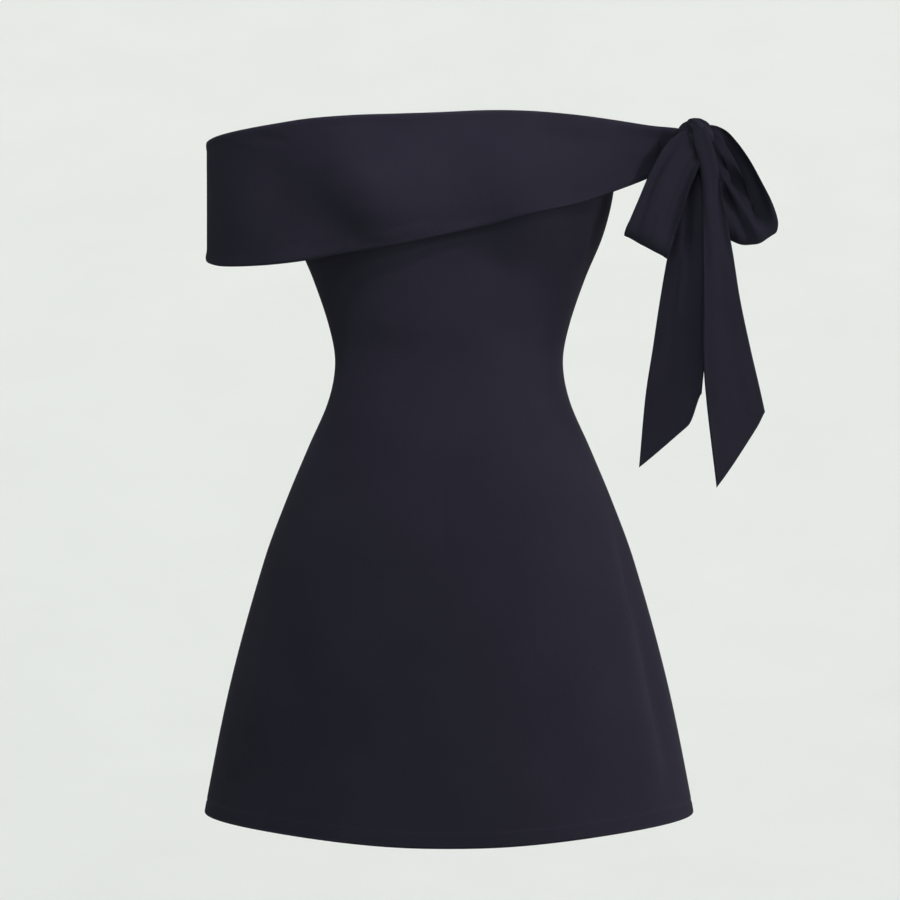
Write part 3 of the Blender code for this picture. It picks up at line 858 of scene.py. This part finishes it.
BAND_BACK_FOLDS = [
    Fold((85, 120), (150, 30), 16, -2.2, bow=6, lean=-0.3),
    Fold((130, 118), (190, 40), 17, 1.8, bow=-5),
    Fold((300, 96), (480, 52), 16, 1.3, bow=-7),
    Fold((330, 70), (500, 40), 12, -1.3, bow=-5),
    Fold((430, 72), (560, 34), 8, 1.2, bow=-3),
    Fold((470, 50), (580, 24), 6, -1.2, bow=-2),
    Fold((510, 30), (585, 14), 6, 1.0, bow=2),
]


def band_length(name, first, last, columns, folds):
    """One length of the band. Its folds are placed from its first station and its low edge."""
    stations = np.linspace(last, first, columns)
    shares = crowded_shares(BAND_SHARES, BAND_ROWS)
    grid = band_point(*np.meshgrid(stations, shares))
    flat = flat_of(grid)
    up = flat[..., 1]
    along = flat[..., 0][:, -1:] - flat[..., 0]
    height = up[-1:]
    down = height - up
    lift = fold_heights(folds, along, up)
    lift *= smooth_step(up / FOLDS_FADE_LOW) * smooth_step(down / FOLDS_FADE_TOP)
    puff = edge_heights(LOW_PUFF, up) + edge_heights(TOP_PUFF, down)
    puff *= smooth_step(height / FULL_PUFF_HEIGHT)
    normals = normals_of(grid)
    outer = grid + normals * (DOUBLED_CLOTH + lift + puff)[..., None]
    inner = grid + normals * np.maximum(lift, INNER_FACE_DEEPEST)[..., None] * INNER_FACE_FOLLOWS
    rubbed = edge_heights(LOW_WEAR, up) + edge_heights(TOP_WEAR, down)
    piece = cloth_wall(name, outer, inner, flat, ("low", "top"), rubbed)
    print(f"{name}: {flat[0, -1, 0]:.0f} mm along its low edge, up to {height.max():.0f} mm high")
    return piece


one_station = np.linalg.norm(band_point(OUTER_ARM + 0.5, 0.5) - band_point(OUTER_ARM - 0.5, 0.5))
front_end = OUTER_ARM - SEAM_GAP / 2 / one_station
back_start = OUTER_ARM + SEAM_GAP / 2 / one_station
front_band = band_length("cloth_band_front", 0, front_end, BAND_COLUMNS_FRONT, BAND_FRONT_FOLDS)
back_band = band_length("cloth_band_back", back_start, LAST_STATION, BAND_COLUMNS_BACK, BAND_BACK_FOLDS)

# %% [markdown]
# ## The bow's loops and tails
#
# Each loop is a doubled strip that comes out of the knot, turns back on itself and goes in
# again, and each tail hangs free with its end cut on a slant. They could be simulated, but a
# bow is arranged by hand: a table holds each strip's centre line, its width, its tilt and how
# far it turns aside. The loops' centre lines lie within 2 mm of the packed model's. The inner
# tail's lies up to 9 mm further forward. The outer one's starts 22 mm higher, over the knot, and
# so lies up to 17 mm further forward there. The gathers are about a third as deep as in the
# imported model, because folds that fan out from the knot take their place.

# %% Make the loops and tails
Strip = namedtuple("Strip", "x y z half_width tilt pleat dip turn", defaults=[0, 0])
INNER_LOOP = [
    Strip(x=266, y=-33, z=77, half_width=8, tilt=-46, pleat=0.5),
    Strip(x=256, y=-44, z=70, half_width=16, tilt=-43, pleat=1.2),
    Strip(x=242.5, y=-56, z=53, half_width=21, tilt=-35, pleat=2.0),
    Strip(x=230, y=-64, z=29, half_width=22.5, tilt=-29, pleat=1.8),
    Strip(x=217, y=-69, z=-5, half_width=24, tilt=-27, pleat=1.0),
    Strip(x=208, y=-69, z=-30, half_width=25.5, tilt=-28, pleat=0.5),
    Strip(x=205, y=-61.5, z=-40.5, half_width=26, tilt=-28.5, pleat=0.3),
    Strip(x=207, y=-54, z=-31, half_width=25, tilt=-28, pleat=0.3),
    Strip(x=217.5, y=-52, z=-5, half_width=22.5, tilt=-28, pleat=0.5),
    Strip(x=231.5, y=-51.5, z=28, half_width=20, tilt=-30, pleat=0.7),
    Strip(x=245, y=-47, z=53, half_width=16, tilt=-36, pleat=0.6),
    Strip(x=258, y=-36, z=68, half_width=9, tilt=-42, pleat=0.4),
    Strip(x=265, y=-28, z=73, half_width=6, tilt=-44, pleat=0.3),
]
OUTER_LOOP = [
    Strip(x=255, y=-30, z=77, half_width=7, tilt=64, pleat=0.3),
    Strip(x=269, y=-31, z=80, half_width=10, tilt=60, pleat=0.5),
    Strip(x=281, y=-34, z=72.5, half_width=13.5, tilt=52, pleat=1.0),
    Strip(x=290, y=-37, z=58.5, half_width=16.5, tilt=45, pleat=1.6),
    Strip(x=299, y=-40, z=38.5, half_width=20, tilt=38, pleat=2.2, dip=1),
    Strip(x=306, y=-43, z=17, half_width=23.5, tilt=28, pleat=2.2, dip=4),
    Strip(x=312, y=-43, z=-2, half_width=27, tilt=18, pleat=1.8, dip=8),
    Strip(x=316.3, y=-39, z=-17, half_width=28.2, tilt=9, pleat=1.2, dip=10),
    Strip(x=316.6, y=-29, z=-25, half_width=26.6, tilt=6, pleat=0.8, dip=11),
    Strip(x=316, y=-19, z=-17, half_width=26.4, tilt=9, pleat=0.8, dip=10),
    Strip(x=312, y=-14, z=1, half_width=25.5, tilt=18, pleat=0.8, dip=8),
    Strip(x=305, y=-16, z=20, half_width=22, tilt=28, pleat=0.8, dip=4),
    Strip(x=297, y=-18, z=40, half_width=18, tilt=38, pleat=0.8, dip=1),
    Strip(x=287, y=-22, z=60, half_width=13, tilt=45, pleat=0.6),
    Strip(x=275, y=-25, z=72, half_width=9, tilt=52, pleat=0.4),
    Strip(x=260, y=-26, z=74, half_width=6, tilt=58, pleat=0.3),
]
INNER_TAIL = [
    Strip(x=260, y=-32, z=64, half_width=6, tilt=-4, pleat=0.6),
    Strip(x=261, y=-43, z=43, half_width=10, tilt=-4, pleat=1.2),
    Strip(x=259, y=-48.5, z=22, half_width=13, tilt=-6, pleat=1.4, turn=-5),
    Strip(x=256, y=-50.5, z=0, half_width=15.5, tilt=-6, pleat=1.4, turn=-10),
    Strip(x=250, y=-49, z=-45, half_width=21.1, tilt=-6, pleat=1.0, turn=-14),
    Strip(x=244.5, y=-46.5, z=-97, half_width=24.8, tilt=-6, pleat=0.6, turn=-15),
    Strip(x=240.1, y=-44, z=-149, half_width=28, tilt=-6, pleat=0.4, turn=-15),
    Strip(x=234.3, y=-42, z=-200, half_width=29.7, tilt=-6, pleat=0.2, turn=-14),
    Strip(x=229.5, y=-41, z=-274, half_width=31.3, tilt=-6, pleat=0.2, turn=-12),
]
OUTER_TAIL = [
    Strip(x=261, y=-44, z=86, half_width=7, tilt=-8, pleat=0.3),
    Strip(x=265, y=-51.5, z=67, half_width=9.5, tilt=-4, pleat=0.6),
    Strip(x=270, y=-54, z=45, half_width=9.5, tilt=2, pleat=0.8),
    Strip(x=273, y=-55.5, z=22, half_width=9.8, tilt=6, pleat=1.4, turn=4),
    Strip(x=275, y=-56.5, z=0, half_width=11.2, tilt=6, pleat=1.4, turn=8),
    Strip(x=279.5, y=-56, z=-45, half_width=16, tilt=6, pleat=1.0, turn=12),
    Strip(x=284, y=-55, z=-97, half_width=20.2, tilt=6, pleat=0.6, turn=14),
    Strip(x=289.4, y=-53, z=-149, half_width=26.2, tilt=6, pleat=0.4, turn=14),
    Strip(x=297.2, y=-51, z=-200, half_width=30.2, tilt=6, pleat=0.2, turn=12),
    Strip(x=312, y=-49, z=-288, half_width=34.2, tilt=6, pleat=0.2, turn=10),
]
LOOP_GATHERS = 3
TAIL_GATHERS = 2
INNER_TAIL_END = {"edges": (1, 0.9), "corner": 0.045}
OUTER_TAIL_END = {"edges": (1, 0.915), "corner": 0.003}
CORNER_START = 0.5
DIRECTION_STEP = 0.05
PLEAT_SHARE = 0.35
STRIP_SHARES = [0, 0.01, 0.025, 0.045]
STRIP_PUFF = [EdgeLine(place=2.2, width=2.2, height=0.3)]
STRIP_WEAR = [EdgeLine(place=0, width=1.6, height=0.3)]
FOLDS_FADE_SIDE = 3
INNER_LOOP_FOLDS = [
    Fold((9, 8), (16, 142), 6.5, -3.6, bow=2),
    Fold((-5, 26), (-7, 156), 10, 2.6, bow=-2),
    Fold((-11, 30), (-19, 112), 3.4, -1.4, bow=1),
    Fold((-2, 62), (4, 146), 3.6, 1.0, bow=1),
    Fold((-16, 90), (-12, 150), 4, -0.8),
]
OUTER_LOOP_FOLDS = [
    Fold((-22, 30), (13, 162), 5.2, 6.2),
    Fold((-15, 30), (15, 150), 6, -15),
    Fold((7, 20), (20, 153), 7, -12),
    Fold((-24, 50), (-4, 150), 4.2, -5),
    Fold((22, 70), (26, 150), 3.0, 1.6),
]
INNER_TAIL_FOLDS = [
    Fold((-4, 20), (-12, 210), 5, 1.3, bow=2),
    Fold((-6, 22), (-4, 130), 5, -5.5, bow=-1),
    Fold((15, 90), (24, 250), 5, 0.9),
    Fold((-16, 120), (-20, 300), 8, -0.8, bow=2),
]
OUTER_TAIL_FOLDS = [
    Fold((-3, 0), (-8, 190), 6.5, 1.9, bow=1),
    Fold((7, 48), (13, 150), 4.2, -3.2),
    Fold((-10, 20), (-14, 120), 2.6, -1.0),
    Fold((4, 160), (12, 330), 10, -0.9, bow=2),
    Fold((-12, 180), (-18, 330), 8, 0.8, bow=-2),
]


def strip_points(table, edges, gathers, along, across, corner):
    """Points on a strip's middle, from its root along to its end and from edge to edge.

    edges gives how long each edge is, and corner how much is rounded off the second one."""
    curves = columns_of(table)
    cut = mix(edges[0], edges[1], (across + 1) / 2)
    cut -= corner * smooth_step((across - CORNER_START) / (1 - CORNER_START)) ** 2
    station = along * (len(table) - 1) * cut
    ahead = np.stack([curves[name](station + DIRECTION_STEP) for name in "xyz"], axis=-1)
    behind = np.stack([curves[name](station - DIRECTION_STEP) for name in "xyz"], axis=-1)
    tilt = np.radians(curves["tilt"](station))
    turn = np.radians(curves["turn"](station))
    width = np.stack([np.cos(tilt) * np.cos(turn), np.sin(turn), np.sin(tilt) * np.cos(turn)], axis=-1)
    out = unit(np.cross(width, ahead - behind))
    wave = PLEAT_SHARE * curves["pleat"](station) * np.cos(gathers * np.pi * across)
    hanging = curves["z"](station) - curves["dip"](station) * (1 - across * across)
    centre = np.stack([curves["x"](station), curves["y"](station), hanging], axis=-1)
    reach = (across * curves["half_width"](station))[..., None]
    return centre + width * reach + out * wave[..., None]


def bow_strip(name, table, folds, gathers, columns, rows, edges=(1, 1), corner=0):
    """One strip of the bow. Its folds are placed from its root and its middle line."""
    across = crowded_shares(STRIP_SHARES, columns)
    along, across = np.meshgrid(np.linspace(1, 0, rows), across, indexing="ij")
    grid = strip_points(table, edges, gathers, along, 2 * across - 1, corner)
    widths = lengths_along(grid, 1)
    from_end = lengths_along(grid, 0)
    flat = np.stack([widths - widths[:, -1:] / 2, from_end[-1:] - from_end], axis=-1)
    to_side = np.minimum(widths, widths[:, -1:] - widths)
    lift = fold_heights(folds, flat[..., 0], flat[..., 1])
    lift *= smooth_step(to_side / FOLDS_FADE_SIDE)
    puff = edge_heights(STRIP_PUFF, to_side)
    normals = normals_of(grid)
    outer = grid + normals * (DOUBLED_CLOTH / 2 + lift + puff)[..., None]
    inner = grid - normals * (DOUBLED_CLOTH / 2 - lift + puff)[..., None]
    rubbed = edge_heights(STRIP_WEAR, to_side)
    piece = cloth_wall(name, outer, inner, flat, ("low", "right", "left"), rubbed)
    half_way = widths[rows // 2, -1]
    print(f"{name}: {from_end[-1].max():.0f} mm long, {half_way:.0f} mm wide half way along")
    return piece


loop = {"gathers": LOOP_GATHERS, "rows": 180}
tail = {"gathers": TAIL_GATHERS, "columns": 44}
inner_loop = bow_strip("cloth_loop_inner", INNER_LOOP, INNER_LOOP_FOLDS, columns=52, **loop)
outer_loop = bow_strip("cloth_loop_outer", OUTER_LOOP, OUTER_LOOP_FOLDS, columns=56, **loop)
inner_tail = bow_strip(
    "cloth_tail_inner", INNER_TAIL, INNER_TAIL_FOLDS, rows=150, **tail, **INNER_TAIL_END
)
outer_tail = bow_strip(
    "cloth_tail_outer", OUTER_TAIL, OUTER_TAIL_FOLDS, rows=160, **tail, **OUTER_TAIL_END
)

# %% [markdown]
# ## The knot
#
# The knot is a short length of the same band, gathered and wrapped once round the middle of the
# bow. It could be a coil of thin cloth, but pulled tight it is a plump roll with deep folds that
# run over its top. So it is a round form whose surface is pushed in and out along slanting lines.

# %% Make the knot
KNOT_CENTRE = np.array([258.5, -30, 76.5])
KNOT_RADII = np.array([18.5, 19, 19.5])
KNOT_COLUMNS = 120
KNOT_ROWS = 72
KNOT_SLANT = 1.25
KNOT_RIDGES = 5
KNOT_RIDGE_HEIGHT = 0.05
KNOT_HIGHEST_LIFT = 0.9
KNOT_POLE_FADE = 0.7
KNOT_FLAT_ROUND = 21
KNOT_FLAT_UP = 25
KNOT_FLAT_POLE = 39
KNOT_WEAR = 0.5
KnotFold = namedtuple("KnotFold", "place width height")
KNOT_FOLDS = [
    KnotFold(place=-1.75, width=0.16, height=-1.8),
    KnotFold(place=-0.95, width=0.35, height=0.8),
    KnotFold(place=-0.1, width=0.22, height=-4.0),
    KnotFold(place=0.55, width=0.12, height=-1.3),
    KnotFold(place=1.1, width=0.28, height=1.1),
    KnotFold(place=1.85, width=0.15, height=-2.0),
    KnotFold(place=2.6, width=0.13, height=-1.5),
]


def wrapped(angle):
    """The same angle, between half a turn back and half a turn on."""
    return (angle + math.pi) % (2 * math.pi) - math.pi


def knot_grid(turn, climb):
    """The knot's points, by how far round and how far up each one lies, and their lift."""
    level = np.cos(climb)
    directions = np.stack([level * np.sin(turn), -level * np.cos(turn), np.sin(climb)], axis=-1)
    ridge = 1 + KNOT_RIDGE_HEIGHT * level * np.cos(KNOT_RIDGES * turn)
    around = wrapped(turn) + KNOT_SLANT * climb
    lift = np.zeros(turn.shape)
    for fold in KNOT_FOLDS:
        aside = wrapped(around - fold.place)
        lift += fold.height * np.exp(-((aside / fold.width) ** 2))
    lift *= level**KNOT_POLE_FADE
    radii = KNOT_RADII * ridge[..., None] + np.minimum(lift, KNOT_HIGHEST_LIFT)[..., None]
    return KNOT_CENTRE + directions * radii, lift


def make_knot(name):
    """A closed round form: rings of quads, and a fan of triangles at each pole."""
    turn = np.linspace(0, 2 * math.pi, KNOT_COLUMNS, endpoint=False)
    climb = np.linspace(-math.pi / 2, math.pi / 2, KNOT_ROWS)[1:-1]
    climb, turn = np.meshgrid(climb, turn, indexing="ij")
    grid, lift = knot_grid(turn, climb)
    poles = [KNOT_CENTRE - [0, 0, KNOT_RADII[2]], KNOT_CENTRE + [0, 0, KNOT_RADII[2]]]
    rows, columns = turn.shape
    index = np.arange(rows * columns).reshape(rows, columns)
    across = np.roll(index, -1, axis=1)
    quads = np.stack([index[:-1], across[:-1], across[1:], index[1:]], axis=-1).reshape(-1, 4).tolist()
    bottom = rows * columns
    fans = [[bottom, across[0, i], index[0, i]] for i in range(columns)]
    fans += [[bottom + 1, index[-1, i], across[-1, i]] for i in range(columns)]
    vertices = np.concatenate([grid.reshape(-1, 3), poles])
    mesh = bpy.data.meshes.new(name)
    mesh.from_pydata((vertices * MM).tolist(), [], quads + fans)
    flat = np.stack([turn * KNOT_FLAT_ROUND, climb * KNOT_FLAT_UP], axis=-1).reshape(-1, 2)
    flat = np.concatenate([flat, [[0, -KNOT_FLAT_POLE], [0, KNOT_FLAT_POLE]]])
    rubbed = KNOT_WEAR * smooth_step(np.concatenate([lift.reshape(-1), [0, 0]]))
    map_cloth(mesh, flat, rubbed)
    print(f"{name}: {2 * len(quads) + len(fans)} triangles")
    return add_to_scene(name, mesh)


knot = make_knot("cloth_knot")

# %% [markdown]
# ## Join the cloth to the imported model
#
# Every piece rides on the dress's one body, takes the crepe's slot and stands for the plain wall
# that it was built on. The table beside them lists each sheet's flat size of what shows, in
# metres, its area, how it is held and what it rests on.

Cut = namedtuple("Cut", "piece node flat area held rests_on")
CUTS = [
    Cut(front_panel, "body_front", (0.68, 0.74), 0.35, "hung", ["cloth_band_front"]),
    Cut(back_panel, "body_back", (0.67, 0.74), 0.342, "hung", ["cloth_band_back"]),
    Cut(front_band, "band_front", (0.15, 0.59), 0.069, "stretched", ["cloth_body_front"]),
    Cut(back_band, "band_back", (0.13, 0.62), 0.059, "stretched", ["cloth_body_back"]),
    Cut(inner_loop, "bow_loop_inner", (0.052, 0.30), 0.0135, "folded", ["cloth_knot"]),
    Cut(outer_loop, "bow_loop_outer", (0.075, 0.31), 0.0149, "folded", ["cloth_knot"]),
    Cut(inner_tail, "bow_tail_inner", (0.065, 0.344), 0.0154, "hung", ["cloth_knot"]),
    Cut(outer_tail, "bow_tail_outer", (0.07, 0.382), 0.0154, "hung", ["cloth_knot"]),
]
for cut in CUTS:
    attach(cut.piece, "root")
    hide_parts(cut.node)
    cut.piece.data.materials.append(dress_crepe)
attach(knot, "root")
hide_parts("bow_knot")
knot.data.materials.append(dress_crepe)
print("pieces declared:", len(CUTS) + 1)

# %% [markdown]
# ## The finished size
#
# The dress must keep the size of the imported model, whose measures a maker would trust. The two
# boxes could be compared by eye, but here they are written down and their corners subtracted.

# %% Write the two boxes and finish
shown_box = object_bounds()
for corner, packed_corner in zip(shown_box, packed_box):
    print("corner moved by mm:", [round(1000 * (a - b), 1) for a, b in zip(corner, packed_corner)])
